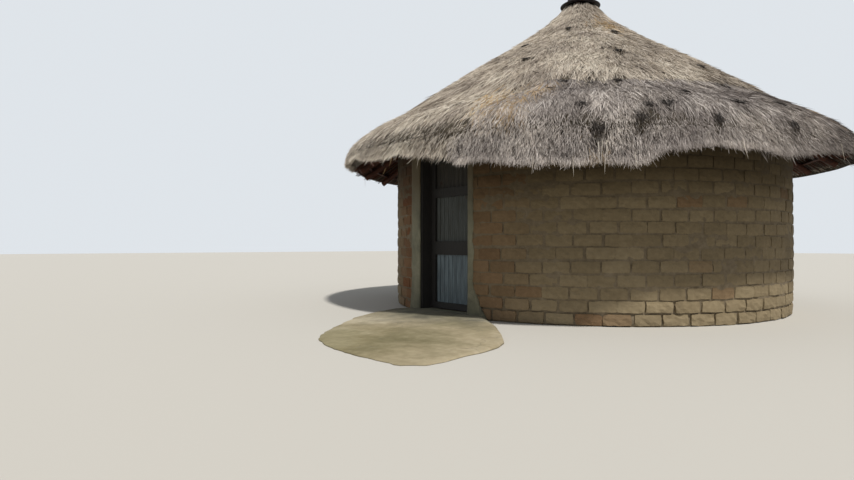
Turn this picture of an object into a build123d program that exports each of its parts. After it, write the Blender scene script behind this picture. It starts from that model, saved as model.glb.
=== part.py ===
from build123d import *
from math import asin, atan, cos, degrees, pi, radians, sin, sqrt, tan
import os

os.makedirs("parts", exist_ok=True)

# Brick wall: a ring of stretcher bond
course_height = 136
course_count = 16
wall_radius = 2700
wall_thickness = 180
wall_pieces = 8

# Doorway and the timber frame in it; the door faces -Y
doorway_half = 500
doorway_courses = 15
frame_clear_half = 418
frame_front = 2650
frame_back = 2455
rebate_half = 440
head_drop = 90
head_rebate = 18

# Floor, threshold and apron
floor_top = 35
threshold_top = 45
apron_rise = 58
apron_lip = 7
apron_crest_depth = 450
# outer edge of the apron: heading in degrees and share of the wall's radius
apron_edge = ((15.5, 1.012), (22.6, 1.217), (27.4, 1.475), (27.4, 1.65), (25.2, 1.84), (22.6, 1.91),
              (16, 1.852), (10, 1.787), (4, 1.643), (-6.5, 1.357), (-12, 1.209), (-17.5, 1.07))
apron_left_turn = -17
apron_right_turn = 15

# Door leaf: boards outside, corrugated iron behind
leaf_half = 430
leaf_front = 2502
board_thickness = 32
leaf_bottom = 52
leaf_top = 1960
stile_width = 90
rail_bands = {"bottom_rail": (0, 75), "middle_rail": (668, 168), "upper_rail": (1388, 110)}
top_rail_height = 90
wave_pitch = 76
wave_depth = 18
iron_thickness = 1.6
sheet_half = 415
sheet_foot_gap = 12
sheet_top_gap = 8
sheet_joint = 1
wave_steps = 6

# Hinges: the pin line stands behind the frame's hinge-side post
pin_x = -435
pin_y = -2447
pin_radius = 2.5
knuckle_radius = 6
hinge_height = 90
hinge_plate = 3
hinge_plate_depth = 40
hinge_levels = (330, 1700)
knuckle_play = 1
pin_play = 0.5

# Cement plaster round the opening
plaster_thickness = 14
plaster_left_width = 240
plaster_right_width = 75
plaster_left_flare = 60
plaster_right_flare = 180
plaster_flare_height = 420
plaster_flare_bend = 0.3

# Roof poles
plate_pole_radius = 45
plate_flat = 3
rafter_radius = 37.5
rafter_slope = 0.68
rafter_notch = 8
rafter_count = 24
long_rafter_count = 8
rafter_end_gap = 50
short_rafter_end = 650
hoop_half = 13
hoop_shares = (0.23, 0.42, 0.60, 0.76, 0.88, 0.972)
hub_radius = 105
pole_flats = 12
straw_flats = 48
hub_depth = 120
hub_top_gap = 6
apex_post_radius = 45

# Thatch: straw thickness over the hoops, at shares of the eave radius
eave_radius = 3434
eave_depth = 144
eave_roll = 80
thatch_cover = ((0.02, 290), (0.064, 335), (0.175, 262), (0.32, 236), (0.495, 255), (0.67, 244),
                (0.815, 213), (0.874, 249), (0.917, 260), (0.952, 253), (0.978, 232), (0.993, 196))
hem_lift = 33
hem_swing = 140
hem_heading = 56
lobe_start = 16
lobe_turn = 33
lobe_drop = 275

# The straw leans: its axis tips towards this heading plus a quarter turn, so the far side of it stands higher
lean_degrees = 1.375
lean_heading = 36.3

# Later layer of straw on the front right eave
layer_start = 6
layer_turn = 130
layer_share = 0.763
layer_proud = 18
layer_thickness = 45

# Metal basin upside down on the apex
basin_brim_radius = 290
basin_crown_radius = 185
basin_lift = 25
basin_height = 115
basin_wall = 4
basin_brim_fall = 8
basin_flare = 8
collar_radius = 250
collar_depth = 125
collar_head = 55
collar_head_inset = 20

# Clearance between pieces that rest on each other
seat_gap = 0.3

wall_height = course_height * course_count
doorway_top = course_height * doorway_courses
inner_radius = wall_radius - wall_thickness
wall_middle = wall_radius - wall_thickness / 2
plate_top = wall_height + 2 * plate_pole_radius
head_bottom = doorway_top - head_drop
head_rebate_level = head_bottom + head_rebate
shoulder = leaf_front + 5
board_back = leaf_front - board_thickness
slope_up = sqrt(1 + rafter_slope**2)
rafter_level = plate_top - plate_flat + rafter_radius * slope_up - rafter_notch
hoop_offset = (rafter_radius + seat_gap + hoop_half) * slope_up
thatch_offset = (rafter_radius + 2 * seat_gap + 2 * hoop_half) * slope_up
eave_inner = eave_radius - eave_depth
rafter_end = eave_inner - rafter_end_gap
beyond = 2 * eave_radius


def rafter_line(radius):
    return rafter_level + rafter_slope * (wall_middle - radius)


def straw_underside(radius):
    return rafter_line(radius) + thatch_offset


thatch_top = [
    (share * eave_radius, straw_underside(share * eave_radius) + cover) for share, cover in thatch_cover
]
eave_level = thatch_top[-1][1] - eave_roll
hem_mean = straw_underside(eave_radius) + hem_lift
skirt_bottom = hem_mean - 2 * hem_swing
basin_level = thatch_top[0][1] + basin_lift
lean_level = (hem_mean + basin_level) / 2


def save(builder, name):
    builder.part.label = name
    export_step(builder.part, f"parts/{name}.step")


def heading_point(heading, radius):
    return (radius * sin(radians(heading)), -radius * cos(radians(heading)))


def ring_sketch(outer, inner, level):
    with BuildSketch(Plane.XY.offset(level)) as ring:
        Circle(outer)
        Circle(inner, mode=Mode.SUBTRACT)
    return ring.sketch


# Wall beside the doorway, in equal turns
door_heading = degrees(asin(doorway_half / wall_radius))
free_turn = 360 - 2 * door_heading
for index in range(wall_pieces):
    start = door_heading + free_turn * index / wall_pieces
    finish = door_heading + free_turn * (index + 1) / wall_pieces
    reach = 2 * wall_radius
    steps = [heading_point(start + (finish - start) * k / 4, reach) for k in range(5)]
    corner = (0, 0)
    if index == 0:
        steps[0] = (doorway_half, -reach)
        corner = (doorway_half, -doorway_half / tan(radians(finish)))
    if index == wall_pieces - 1:
        steps[-1] = (-doorway_half, -reach)
        corner = (-doorway_half, doorway_half / tan(radians(start)))
    with BuildPart() as wall:
        extrude(ring_sketch(wall_radius, inner_radius, 0), amount=wall_height)
        with BuildSketch():
            with BuildLine():
                Polyline(corner, *steps, close=True)
            make_face()
        extrude(amount=wall_height, mode=Mode.INTERSECT)
    save(wall, f"wall_{index + 1}")

with BuildPart() as wall_over_door:
    extrude(ring_sketch(wall_radius, inner_radius, doorway_top), amount=course_height)
    with Locations((0, -wall_radius, doorway_top)):
        Box(2 * doorway_half, wall_radius, course_height,
            align=(Align.CENTER, Align.CENTER, Align.MIN), mode=Mode.INTERSECT)
save(wall_over_door, "wall_over_door")

# Ground floor, threshold and the cement apron
with BuildPart() as room_floor:
    with BuildSketch():
        Circle(inner_radius)
    extrude(amount=floor_top)
save(room_floor, "room_floor")

with BuildPart() as threshold:
    extrude(ring_sketch(wall_radius, inner_radius, 0), amount=threshold_top)
    with Locations((0, -wall_radius, 0)):
        Box(2 * doorway_half, wall_radius, threshold_top,
            align=(Align.CENTER, Align.CENTER, Align.MIN), mode=Mode.INTERSECT)
save(threshold, "threshold")

apron_outline = [heading_point(heading, share * wall_radius) for heading, share in apron_edge]
apron_crest = Vector(0, apron_crest_depth - wall_radius, apron_rise)
with BuildPart() as apron:
    with BuildSketch():
        with BuildLine():
            Polyline(
                *apron_outline,
                heading_point(apron_left_turn, inner_radius),
                heading_point(apron_right_turn, inner_radius),
                close=True,
            )
        make_face()
    extrude(amount=apron_rise)
    for right, left in zip(apron_outline, apron_outline[1:]):
        along = Vector(*right, apron_lip) - Vector(*left, apron_lip)
        slope = along.cross(Vector(*left, apron_lip) - apron_crest)
        slope = slope if slope.Z > 0 else -slope
        split(bisect_by=Plane(apron_crest, z_dir=slope), keep=Keep.BOTTOM)
    with BuildSketch():
        Circle(wall_radius)
    extrude(amount=2 * apron_rise, mode=Mode.SUBTRACT)
save(apron, "apron")

# Timber frame with a rebate for the leaf
for side, name in ((-1, "left_post"), (1, "right_post")):
    with BuildPart() as post:
        with BuildSketch(Plane.XY.offset(threshold_top)):
            with BuildLine():
                Polyline(
                    (side * doorway_half, -frame_front),
                    (side * frame_clear_half, -frame_front),
                    (side * frame_clear_half, -shoulder),
                    (side * rebate_half, -shoulder),
                    (side * rebate_half, -frame_back),
                    (side * doorway_half, -frame_back),
                    close=True,
                )
            make_face()
        extrude(amount=head_rebate_level - threshold_top)
    save(post, name)

with BuildPart() as frame_head:
    with BuildSketch(Plane.XY.offset(head_rebate_level)):
        with Locations((0, -(frame_front + frame_back) / 2)):
            Rectangle(2 * doorway_half, frame_front - frame_back)
    extrude(amount=doorway_top - head_rebate_level)
    with BuildSketch(Plane.XY.offset(head_bottom)):
        with Locations((0, -(frame_front + shoulder) / 2)):
            Rectangle(2 * frame_clear_half, frame_front - shoulder)
    extrude(amount=head_rebate)
save(frame_head, "frame_head")

# Plaster band on the outer face, wider at the right foot
for side, name, width, flare in (
    (-1, "left_plaster", plaster_left_width, plaster_left_flare),
    (1, "right_plaster", plaster_right_width, plaster_right_flare),
):
    with BuildPart() as plaster:
        extrude(ring_sketch(wall_radius + plaster_thickness, wall_radius, 0), amount=doorway_top)
        with BuildSketch(Plane.XZ):
            with BuildLine():
                Polyline(
                    (side * rebate_half, 0),
                    (side * rebate_half, doorway_top),
                    (side * (rebate_half + width), doorway_top),
                    (side * (rebate_half + width), plaster_flare_height),
                    (side * (rebate_half + width + flare * plaster_flare_bend), plaster_flare_height / 2),
                    (side * (rebate_half + width + flare), 0),
                    close=True,
                )
            make_face()
        extrude(amount=2 * wall_radius, mode=Mode.INTERSECT)
        # the band stops on the apron's surface
        add(apron.part, mode=Mode.SUBTRACT)
    save(plaster, name)

# Door leaf
for side, name in ((-1, "left_stile"), (1, "right_stile")):
    with BuildPart() as stile:
        with BuildSketch(Plane.XY.offset(leaf_bottom)):
            with Locations((side * (leaf_half - stile_width / 2), -leaf_front + board_thickness / 2)):
                Rectangle(stile_width, board_thickness)
        extrude(amount=leaf_top - leaf_bottom)
    save(stile, name)

rail_bands["top_rail"] = (leaf_top - leaf_bottom - top_rail_height, top_rail_height)
for name, (level, height) in rail_bands.items():
    with BuildPart() as rail:
        with BuildSketch(Plane.XY.offset(leaf_bottom + level)):
            with Locations((0, -leaf_front + board_thickness / 2)):
                Rectangle(2 * (leaf_half - stile_width), board_thickness)
        extrude(amount=height)
    save(rail, name)


def rail_middle(name):
    level, height = rail_bands[name]
    return leaf_bottom + level + height / 2


wave_count = int(2 * sheet_half / wave_pitch)
wave_middle = -board_back + seat_gap + wave_depth / 2
wave_face = [
    (
        (step / wave_steps - wave_count / 2) * wave_pitch,
        wave_middle + wave_depth / 2 * cos(2 * pi * step / wave_steps),
    )
    for step in range(wave_count * wave_steps + 1)
]
sheet_bands = {
    "lower_sheet": (leaf_bottom + sheet_foot_gap, rail_middle("middle_rail")),
    "middle_sheet": (rail_middle("middle_rail") + sheet_joint, rail_middle("upper_rail")),
    "upper_sheet": (rail_middle("upper_rail") + sheet_joint, leaf_top - sheet_top_gap),
}
for name, (bottom, top) in sheet_bands.items():
    with BuildPart() as sheet:
        with BuildSketch(Plane.XY.offset(bottom)):
            with BuildLine():
                Polyline(*wave_face, *[(x, y + iron_thickness) for x, y in reversed(wave_face)], close=True)
            make_face()
        extrude(amount=top - bottom)
    save(sheet, name)

# Butt hinges between the stile's edge and the post's rebate
knuckle_height = hinge_height / 3
with BuildPart() as frame_hinges:
    for level in hinge_levels:
        with BuildSketch(Plane.XY.offset(level)):
            with Locations((-rebate_half + hinge_plate / 2, -frame_back - hinge_plate_depth / 2)):
                Rectangle(hinge_plate, hinge_plate_depth)
        extrude(amount=hinge_height)
        for base in (level, level + 2 * knuckle_height + knuckle_play):
            with BuildSketch(Plane.XY.offset(base)):
                with Locations((pin_x, pin_y)):
                    Circle(knuckle_radius)
                with Locations((-rebate_half + hinge_plate / 2, (pin_y - frame_back) / 2)):
                    Rectangle(hinge_plate, frame_back + pin_y, align=(Align.CENTER, Align.CENTER))
            extrude(amount=knuckle_height - knuckle_play)
        with BuildSketch(Plane.XY.offset(level)):
            with Locations((pin_x, pin_y)):
                Circle(pin_radius)
        extrude(amount=hinge_height)
save(frame_hinges, "frame_hinges")

with BuildPart() as leaf_hinges:
    for level in hinge_levels:
        with BuildSketch(Plane.XY.offset(level)):
            with Locations((-leaf_half - hinge_plate / 2, -frame_back - hinge_plate_depth / 2)):
                Rectangle(hinge_plate, hinge_plate_depth)
        extrude(amount=hinge_height)
        with BuildSketch(Plane.XY.offset(level + knuckle_height)):
            with Locations((pin_x, pin_y)):
                Circle(knuckle_radius)
            with Locations((-leaf_half - hinge_plate / 2, (pin_y - frame_back) / 2)):
                Rectangle(hinge_plate, frame_back + pin_y)
        extrude(amount=knuckle_height)
        with BuildSketch(Plane.XY.offset(level)):
            with Locations((pin_x, pin_y)):
                Circle(pin_radius + pin_play)
        extrude(amount=hinge_height, mode=Mode.SUBTRACT)
save(leaf_hinges, "leaf_hinges")

# Poles on the wall top, mitred into a ring with a corner under each rafter
rafter_step = 360 / rafter_count
places = [rafter_step * k for k in range(rafter_count)]
long_places = places[:: rafter_count // long_rafter_count]
short_places = [heading for heading in places if heading not in long_places]


def ring_path(radius, level):
    with BuildLine() as path:
        Polyline(
            *[(*heading_point(heading, radius), level) for heading in places],
            close=True,
        )
    return path.line


def ring_section(radius, level):
    low = Vector(*heading_point(rafter_step / 2, radius * cos(pi / rafter_count)), level)
    along = Vector(cos(radians(rafter_step / 2)), sin(radians(rafter_step / 2)), 0)
    return Plane(low, x_dir=(0, 0, 1), z_dir=along)


plate_level = wall_height + plate_pole_radius - plate_flat
with BuildPart() as wall_plate:
    with BuildSketch(ring_section(wall_middle, plate_level)):
        RegularPolygon(plate_pole_radius, pole_flats)
    sweep(path=ring_path(wall_middle, plate_level), transition=Transition.RIGHT)
    with BuildSketch():
        Circle(wall_radius + plate_pole_radius)
    extrude(amount=wall_height, mode=Mode.SUBTRACT)
save(wall_plate, "wall_plate")


# Rafters with a level seat on the plate
def rafter_group(headings, upper_end):
    with BuildPart() as group:
        for heading in headings:
            foot = heading_point(heading, rafter_end)
            head = heading_point(heading, upper_end)
            start = Vector(foot[0], foot[1], rafter_line(rafter_end))
            finish = Vector(head[0], head[1], rafter_line(upper_end))
            with BuildSketch(Plane(start, z_dir=finish - start)):
                RegularPolygon(rafter_radius, pole_flats)
            extrude(amount=(finish - start).length)
        extrude(
            ring_sketch(wall_middle + plate_pole_radius, wall_middle - plate_pole_radius, wall_height),
            amount=2 * plate_pole_radius - plate_flat + seat_gap,
            mode=Mode.SUBTRACT,
        )
    return group.part


with BuildPart() as rafters_long:
    add(rafter_group(long_places, hub_radius - rafter_radius))
    with Locations((0, 0, rafter_line(hub_radius))):
        Cylinder(hub_radius + seat_gap, rafter_level, mode=Mode.SUBTRACT)
save(rafters_long, "long_rafters")

with BuildPart() as rafters_short:
    add(rafter_group(short_places, short_rafter_end))
save(rafters_short, "short_rafters")

# Square battens round the rafters, tilted with the slope
with BuildPart() as hoops:
    for share in hoop_shares:
        radius = share * rafter_end
        level = rafter_line(radius) + hoop_offset
        with BuildSketch(ring_section(radius, level)):
            Rectangle(2 * hoop_half, 2 * hoop_half, rotation=degrees(atan(rafter_slope)))
        sweep(path=ring_path(radius, level), transition=Transition.RIGHT)
save(hoops, "roof_hoops")

hub_middle = rafter_line(hub_radius)
hub_top = straw_underside(hub_radius) - hub_top_gap
with BuildPart() as apex_post:
    with BuildSketch(Plane.XY.offset(hub_middle - hub_depth)):
        Circle(hub_radius)
    extrude(amount=hub_top - hub_middle + hub_depth)
    with BuildSketch(Plane.XY.offset(hub_top)):
        Circle(apex_post_radius)
    extrude(amount=basin_level + collar_head - hub_top)
save(apex_post, "apex_post")

# The leaning axis of the straw
side_way = Vector(cos(radians(lean_heading)), sin(radians(lean_heading)), 0)
lean = radians(lean_degrees)
roof_up = Vector(side_way.X * sin(lean), side_way.Y * sin(lean), cos(lean))
roof_origin = Vector(0, 0, lean_level) - roof_up * lean_level
roof_across = (Vector(0, -1, 0) - roof_up * Vector(0, -1, 0).dot(roof_up)).normalized()


def top_level(radius):
    for (r0, z0), (r1, z1) in zip(thatch_top, thatch_top[1:]):
        if r0 <= radius <= r1:
            return z0 + (z1 - z0) * (radius - r0) / (r1 - r0)
    return thatch_top[-1][1]


# A many-sided form of revolution: tapered bands between the outline's points, from the top down.
# The flats lie inside the outline on a solid and outside it on a hollow.
def turned(outline, base, hollow=False):
    with BuildPart() as form:
        for (upper, top), (lower, bottom) in zip(outline, outline[1:]):
            with BuildSketch(base.offset(bottom)):
                RegularPolygon(lower, straw_flats, major_radius=not hollow)
            extrude(amount=top - bottom, taper=degrees(atan((lower - upper) / (top - bottom))))
    return form.part


def hem_sketch():
    low = heading_point(hem_heading, 1)
    tilt = Vector(low[0] * hem_swing / eave_radius, low[1] * hem_swing / eave_radius, 1)
    with BuildSketch(Plane((0, 0, hem_mean), z_dir=tilt)) as hem:
        Circle(2 * eave_radius)
    return hem.sketch


def sector(start, turn):
    with BuildPart() as wedge:
        with BuildSketch():
            with BuildLine():
                Polyline(
                    (0, 0),
                    *[heading_point(start + turn * k / 4, beyond) for k in range(5)],
                    close=True,
                )
            make_face()
        extrude(amount=beyond)
    return wedge.part


straw_base = Plane(roof_origin, x_dir=roof_across, z_dir=roof_up)
layer_edge = layer_share * eave_radius
layer_points = [(radius, level) for radius, level in thatch_top if radius > layer_edge]
layer_drop = layer_thickness - layer_proud
with BuildPart() as second_layer:
    add(turned(
        [
            (layer_edge, top_level(layer_edge) + layer_proud / 2),
            *[(radius, level + layer_proud) for radius, level in layer_points],
            (eave_radius + layer_proud / 2, eave_level),
            (eave_radius + layer_proud / 2, skirt_bottom),
        ],
        straw_base,
    ))
    add(turned(
        [
            (layer_edge - layer_thickness, top_level(layer_edge) + layer_proud),
            *[(radius - layer_proud, level - layer_drop) for radius, level in layer_points],
            (eave_radius - layer_thickness, eave_level),
            (eave_radius - layer_thickness, skirt_bottom - layer_proud),
        ],
        straw_base,
    ), mode=Mode.SUBTRACT)
    add(sector(layer_start, layer_turn), mode=Mode.INTERSECT)
    extrude(hem_sketch(), amount=-hem_mean, mode=Mode.SUBTRACT)
save(second_layer, "second_layer")

with BuildPart() as thatch_whole:
    add(turned([*thatch_top, (eave_radius, eave_level), (eave_radius, skirt_bottom)], straw_base))
    add(turned(
        [
            (apex_post_radius, straw_underside(apex_post_radius)),
            (eave_inner, straw_underside(eave_inner)),
            (eave_inner, skirt_bottom - hem_swing),
        ],
        Plane.XY,
        hollow=True,
    ), mode=Mode.SUBTRACT)
    extrude(hem_sketch(), amount=-hem_mean, mode=Mode.SUBTRACT)
    with Locations((0, 0, basin_level)):
        Cylinder(apex_post_radius + seat_gap, hem_mean, mode=Mode.SUBTRACT)
    add(second_layer.part, mode=Mode.SUBTRACT)

quarters = {
    "thatch_front_right": (1, -1),
    "thatch_back_right": (1, 1),
    "thatch_back_left": (-1, 1),
    "thatch_front_left": (-1, -1),
}
for name, (side_x, side_y) in quarters.items():
    with BuildPart() as thatch:
        add(thatch_whole.part)
        with Locations((side_x * beyond / 2, side_y * beyond / 2, lean_level)):
            Box(beyond, beyond, beyond, mode=Mode.INTERSECT)
    save(thatch, name)

# Long straw hanging over the doorway
with BuildPart() as front_lobe:
    add(turned([(eave_radius - layer_proud, eave_level), (eave_radius - layer_proud, hem_mean - lobe_drop)],
               straw_base))
    add(turned([(eave_inner + layer_proud, eave_level), (eave_inner + layer_proud, skirt_bottom - hem_swing)],
               straw_base), mode=Mode.SUBTRACT)
    add(sector(lobe_start, lobe_turn), mode=Mode.INTERSECT)
    extrude(hem_sketch(), amount=hem_mean, mode=Mode.SUBTRACT)
save(front_lobe, "front_lobe")


def brim_level(radius):
    start = basin_crown_radius + basin_flare
    return basin_level - basin_brim_fall * (radius - start) / (basin_brim_radius - start)


# Straw collar that carries the basin
with BuildPart() as collar:
    add(turned(
        [
            (basin_crown_radius - collar_head_inset, basin_level + collar_head),
            (basin_crown_radius, basin_level - seat_gap),
            (collar_radius, brim_level(collar_radius) - seat_gap),
            (collar_radius, basin_level - collar_depth),
        ],
        straw_base,
    ))
    add(turned(thatch_top[:4], straw_base), mode=Mode.SUBTRACT)
    with Locations((0, 0, basin_level)):
        Cylinder(apex_post_radius + seat_gap, hem_mean, mode=Mode.SUBTRACT)
save(collar, "straw_collar")

basin_top = basin_level + basin_height
basin_foot = basin_crown_radius + basin_flare
brim_low = brim_level(basin_brim_radius)
with BuildPart() as basin:
    add(turned(
        [
            (basin_crown_radius, basin_top),
            (basin_foot + basin_wall, basin_level + basin_wall),
            (basin_brim_radius, brim_low + basin_wall),
            (basin_brim_radius, brim_low),
        ],
        straw_base,
    ))
    add(turned(
        [
            (basin_crown_radius - basin_wall, basin_top - basin_wall),
            (basin_foot, basin_level),
            (basin_brim_radius, brim_low),
        ],
        straw_base,
        hollow=True,
    ), mode=Mode.SUBTRACT)
save(basin, "apex_basin")
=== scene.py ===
import bpy, bmesh, math
import numpy as np
from math import sin, cos, radians, pi
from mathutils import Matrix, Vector, noise


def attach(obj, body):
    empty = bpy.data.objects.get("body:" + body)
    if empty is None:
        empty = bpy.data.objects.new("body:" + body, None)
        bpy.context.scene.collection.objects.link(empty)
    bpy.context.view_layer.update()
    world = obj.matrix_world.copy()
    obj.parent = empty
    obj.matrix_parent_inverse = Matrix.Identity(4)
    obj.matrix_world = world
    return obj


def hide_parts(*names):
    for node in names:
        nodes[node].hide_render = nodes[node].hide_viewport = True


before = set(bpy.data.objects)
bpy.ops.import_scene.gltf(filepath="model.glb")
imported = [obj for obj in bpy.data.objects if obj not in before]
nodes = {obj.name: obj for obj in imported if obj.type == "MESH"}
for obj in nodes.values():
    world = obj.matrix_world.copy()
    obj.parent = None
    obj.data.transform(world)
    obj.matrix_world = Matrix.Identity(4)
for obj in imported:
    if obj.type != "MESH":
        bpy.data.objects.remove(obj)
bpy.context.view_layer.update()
print("hut: frame loaded,", len(nodes), "solids")

# shared helpers


def hexColour(code):
    # sRGB hex to linear with alpha
    parts = [int(code[i:i + 2], 16) / 255 for i in (1, 3, 5)]
    return tuple(c / 12.92 if c <= 0.04045 else ((c + 0.055) / 1.055) ** 2.4 for c in parts) + (1.0,)


def setInputs(node, inputs):
    # an input takes a value, or a link from a socket
    for key, value in inputs.items():
        if isinstance(value, bpy.types.NodeSocket):
            node.id_data.links.new(value, node.inputs[key])
        else:
            node.inputs[key].default_value = value


def addNode(tree, kind, settings=None, inputs=None):
    node = tree.nodes.new(kind)
    for key, value in (settings or {}).items():
        setattr(node, key, value)
    setInputs(node, inputs or {})
    return node


def addObject(name, data):
    thing = bpy.data.objects.new(name, data)
    bpy.context.scene.collection.objects.link(thing)
    return thing


def makeObject(name, vertices, faces, material, smooth=True):
    mesh = bpy.data.meshes.new(name)
    mesh.from_pydata(vertices, [], faces)
    mesh.validate()
    mesh.update()
    mesh.materials.append(material)
    if smooth:
        mesh.shade_smooth()
    return addObject(name, mesh)


def heading(angle, radius):
    # plan position at an angle in degrees from the doorway (-Y), turning to +X
    return radius * sin(radians(angle)), -radius * cos(radians(angle))


def around(turn, radius, level):
    # a place by heading in degrees, plan radius and level
    return Vector((*heading(turn, radius), level))


def noiseAt(x, y, z):
    # smooth unevenness from about -1 to 1
    return noise.noise(Vector((x, y, z)))


def within(value):
    # held between 0 and 1
    return max(0.0, min(1.0, value))


def dress(node, material):
    slots = nodes[node].data.materials
    slots.clear()
    slots.append(material)


def finishPiece(piece, body, slot, *replaced):
    if replaced:
        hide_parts(*replaced)
    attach(piece, body)


def closedPiece(name, vertices, faces, material, slot, *replaced):
    # a closed form that belongs to the hut, its faces turned to the outside
    piece = makeObject(name, vertices, faces, material)
    work = bmesh.new()
    work.from_mesh(piece.data)
    bmesh.ops.recalc_face_normals(work, faces=work.faces)
    work.to_mesh(piece.data)
    work.free()
    finishPiece(piece, "hut", slot, *replaced)


hut = {"wallRadius": 2.70, "wallInner": 2.52, "wallTop": 2.176, "doorHalf": 0.50, "doorTop": 2.04,
       "courseHeight": 0.136, "courses": 16, "bricksRound": 57}

# camera at the photographer's place

camera = {"heading": 36.3, "distance": 8.816, "height": 0.842, "lens": 24.0, "turn": 14.916, "pitch": 0.503}
eyeX, eyeY = heading(camera["heading"], camera["distance"])
lookX, lookY = heading(camera["heading"] + camera["turn"], 1.0)
pitch = radians(camera["pitch"])
cameraData = bpy.data.cameras.new("photoCamera")
cameraData.lens = camera["lens"]
cameraData.sensor_width = 36.0
cameraData.clip_end = 200
cameraObject = addObject("photoCamera", cameraData)
cameraObject.location = (eyeX, eyeY, camera["height"])
viewLine = Vector((-lookX * cos(pitch), -lookY * cos(pitch), sin(pitch)))
cameraObject.rotation_euler = viewLine.to_track_quat("-Z", "Y").to_euler()
bpy.context.scene.camera = cameraObject

# light: one high soft sun and a pale sky dome

light = {"sunHeading": 75, "sunHeight": 61, "sunPower": 3.5, "sunSoftness": 3.5,
         "sunColour": (1.0, 0.97, 0.92), "skyPower": 0.34, "skyLight": (0.93, 0.96, 1.0, 1),
         "skyShown": (0.74, 0.78, 0.82, 1), "skyShownPower": 1.0}
sunData = bpy.data.lights.new("softSun", "SUN")
sunData.energy = light["sunPower"]
sunData.angle = radians(light["sunSoftness"])
sunData.color = light["sunColour"]
sunObject = addObject("softSun", sunData)
sunHeight = radians(light["sunHeight"])
sunX, sunY = heading(light["sunHeading"], cos(sunHeight))
sunObject.rotation_euler = Vector((-sunX, -sunY, -sin(sunHeight))).to_track_quat("-Z", "Y").to_euler()

world = bpy.data.worlds.new("paleSky")
bpy.context.scene.world = world
world.use_nodes = True
skyTree = world.node_tree
skyTree.nodes.clear()
path = addNode(skyTree, "ShaderNodeLightPath").outputs
seen = addNode(skyTree, "ShaderNodeMath", {"operation": "MAXIMUM"},
               {0: path["Is Camera Ray"], 1: path["Is Glossy Ray"]})
lit = addNode(skyTree, "ShaderNodeBackground", None,
              {"Color": light["skyLight"], "Strength": light["skyPower"]})
shown = addNode(skyTree, "ShaderNodeBackground", None,
                {"Color": light["skyShown"], "Strength": light["skyShownPower"]})
sky = addNode(skyTree, "ShaderNodeMixShader", None,
              {0: seen.outputs[0], 1: lit.outputs[0], 2: shown.outputs[0]})
addNode(skyTree, "ShaderNodeOutputWorld", None, {"Surface": sky.outputs[0]})

# materials


def newMaterial(name, roughness, specular=0.5):
    # a material, its node tree, its shader and the Object coordinates
    material = bpy.data.materials.new(name)
    material.use_nodes = True
    tree = material.node_tree
    shader = tree.nodes["Principled BSDF"]
    setInputs(shader, {"Roughness": roughness, "Specular IOR Level": specular})
    return material, tree, shader, addNode(tree, "ShaderNodeTexCoord").outputs["Object"]


def noiseOf(tree, place, scale, detail, roughness=0.5, distortion=0.0):
    inputs = {"Vector": place, "Scale": scale, "Detail": detail, "Roughness": roughness,
              "Distortion": distortion}
    return addNode(tree, "ShaderNodeTexNoise", None, inputs).outputs


def colourRamp(tree, value, stops):
    # stops as (place, hex)
    node = addNode(tree, "ShaderNodeValToRGB", None, {"Fac": value})
    elements = node.color_ramp.elements
    while len(elements) < len(stops):
        elements.new(0.5)
    for element, (place, code) in zip(elements, stops):
        element.position = place
        element.color = hexColour(code)
    return node.outputs["Color"]


def blend(tree, kind, share, first, second):
    return addNode(tree, "ShaderNodeMixRGB", {"blend_type": kind}, {0: share, 1: first, 2: second}).outputs[0]


def timesPlus(tree, value, factor, rest):
    inputs = {0: value, 1: factor, 2: rest}
    return addNode(tree, "ShaderNodeMath", {"operation": "MULTIPLY_ADD"}, inputs).outputs[0]


def remap(tree, value, low, high, lowResult, highResult):
    return addNode(tree, "ShaderNodeMapRange", None,
                   {0: value, 1: low, 2: high, 3: lowResult, 4: highResult}).outputs[0]


def levelOf(tree, place):
    return addNode(tree, "ShaderNodeSeparateXYZ", None, {0: place}).outputs["Z"]


def distanceTo(tree, place, spot):
    inputs = {0: place, 1: spot}
    return addNode(tree, "ShaderNodeVectorMath", {"operation": "DISTANCE"}, inputs).outputs["Value"]


def stretched(tree, place, scale):
    return addNode(tree, "ShaderNodeMapping", None, {"Vector": place, "Scale": scale}).outputs[0]


def readAttribute(tree, key):
    return addNode(tree, "ShaderNodeAttribute", {"attribute_name": key}).outputs["Fac"]


def bump(tree, height, strength, distance, under=None):
    inputs = {"Strength": strength, "Distance": distance, "Height": height}
    if under is not None:
        inputs["Normal"] = under
    return addNode(tree, "ShaderNodeBump", None, inputs).outputs[0]


def mudBrick(name, dark, middle, light, tone=None, red=None, grit=0.004, darkening=None):
    # sun-dried mud: dull, crumbly, uneven in tone, with darker patches
    material, tree, shader, place = newMaterial(name, 0.95, 0.2)
    patches = noiseOf(tree, place, 2.2, 5.0, 0.6)["Fac"]
    lumps = noiseOf(tree, place, 20.0, 4.0)["Fac"]
    grain = noiseOf(tree, place, 0.6 / grit, 3.0)["Fac"]
    share = timesPlus(tree, readAttribute(tree, tone) if tone else lumps, 0.22, 0.12)
    share = timesPlus(tree, lumps, 0.3, timesPlus(tree, patches, 0.45, share))
    mud = colourRamp(tree, share, [(0.28, dark), (0.58, middle), (0.88, light)])
    if red:
        # bricks of redder earth
        mud = blend(tree, "MULTIPLY", readAttribute(tree, red), mud, hexColour("#E0A98C"))
    if darkening:
        # painted light and shade by height: the foot stays pale where the sun falls on it, and the wall
        # darkens upward as painted shade under the eave
        uneven = timesPlus(tree, patches, 0.5, levelOf(tree, place))
        shade = colourRamp(tree, remap(tree, uneven, 0.25, 2.25, 0.0, 1.0), darkening)
        mud = blend(tree, "MULTIPLY", 1.0, mud, shade)
    relief = bump(tree, grain, 0.5, 0.004, bump(tree, lumps, 0.6, 0.012))
    setInputs(shader, {"Base Color": mud, "Normal": relief})
    return material


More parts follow.
